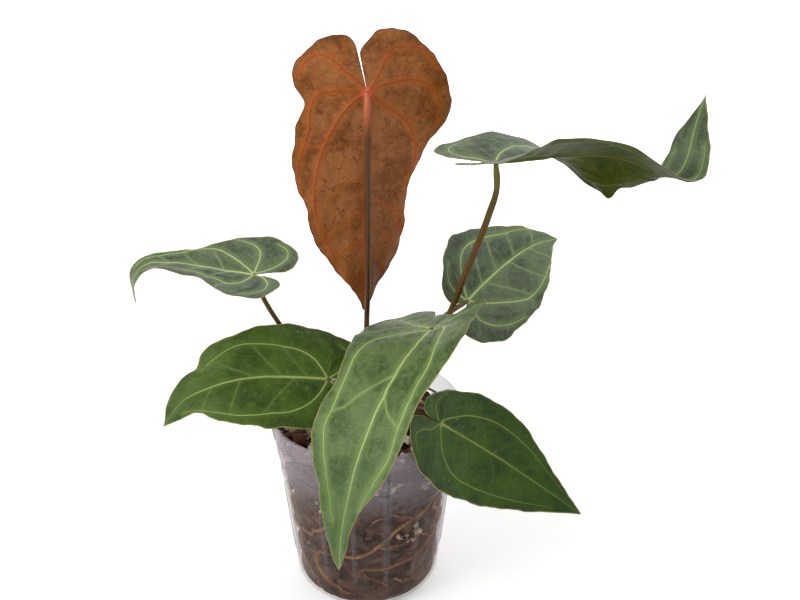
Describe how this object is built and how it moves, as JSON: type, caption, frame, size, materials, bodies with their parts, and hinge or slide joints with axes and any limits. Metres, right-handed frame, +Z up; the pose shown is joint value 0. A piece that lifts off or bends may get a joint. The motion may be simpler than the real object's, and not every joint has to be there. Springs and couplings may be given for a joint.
{
  "type": "potted anthurium plant",
  "caption": "Young potted anthurium: heart-shaped veined leaves on thin stalks rise from a short stem in a clear tapered nursery pot of bark and perlite mix.",
  "frame": {"origin": "centre of the pot's flat base, where it rests", "axes": "+Z up along the pot's axis, -Y towards the front leaf that hangs over the rim, +X towards the tall leaf that reaches out level"},
  "size_m": [0.3327, 0.2028, 0.3589],
  "materials": {
    "clear_plastic": "thin clear plastic with a faint violet-grey haze",
    "potting_mix": "rough dark bark and fibre mix, slightly damp",
    "root": "tan-brown fleshy roots, matt",
    "stem_skin": "olive-brown stem skin, matt",
    "petiole_skin": "smooth olive-brown leaf stalk skin with a soft sheen",
    "copper_leaf": "young copper-brown blade with orange-red veins, satin",
    "green_leaf": "velvety mid-green blade with pale lime veins and a soft sheen at a low angle",
    "bark": "reddish-brown bark chips, rough",
    "perlite": "cream porous beads, chalky"
  },
  "bodies": {
    "root": {"pot": "clear_plastic", "potting_mix": "potting_mix", "stem": "stem_skin", "petiole_copper": "petiole_skin", "petiole_upper_right": "petiole_skin", "petiole_middle_right": "petiole_skin", "petiole_upper_left": "petiole_skin", "petiole_lower_left": "petiole_skin", "petiole_front": "petiole_skin", "petiole_lower_right": "petiole_skin", "leaf_copper": "copper_leaf", "leaf_upper_right": "green_leaf", "leaf_middle_right": "green_leaf", "leaf_upper_left": "green_leaf", "leaf_lower_left": "green_leaf", "leaf_front": "green_leaf", "leaf_lower_right": "green_leaf", "root_1": "root", "root_2": "root", "root_3": "root", "root_4": "root", "root_5": "root", "root_6": "root", "bark_chip_1": "bark", "bark_chip_2": "bark", "bark_chip_3": "bark", "bark_chip_4": "bark", "bark_chip_5": "bark", "bark_chip_6": "bark", "bark_chip_7": "bark", "bark_chip_8": "bark", "perlite_bead_1": "perlite", "perlite_bead_2": "perlite", "perlite_bead_3": "perlite", "perlite_bead_4": "perlite", "perlite_bead_5": "perlite", "perlite_bead_6": "perlite", "perlite_bead_7": "perlite", "perlite_bead_8": "perlite", "perlite_bead_9": "perlite", "perlite_bead_10": "perlite"}
  },
  "joints": []
}
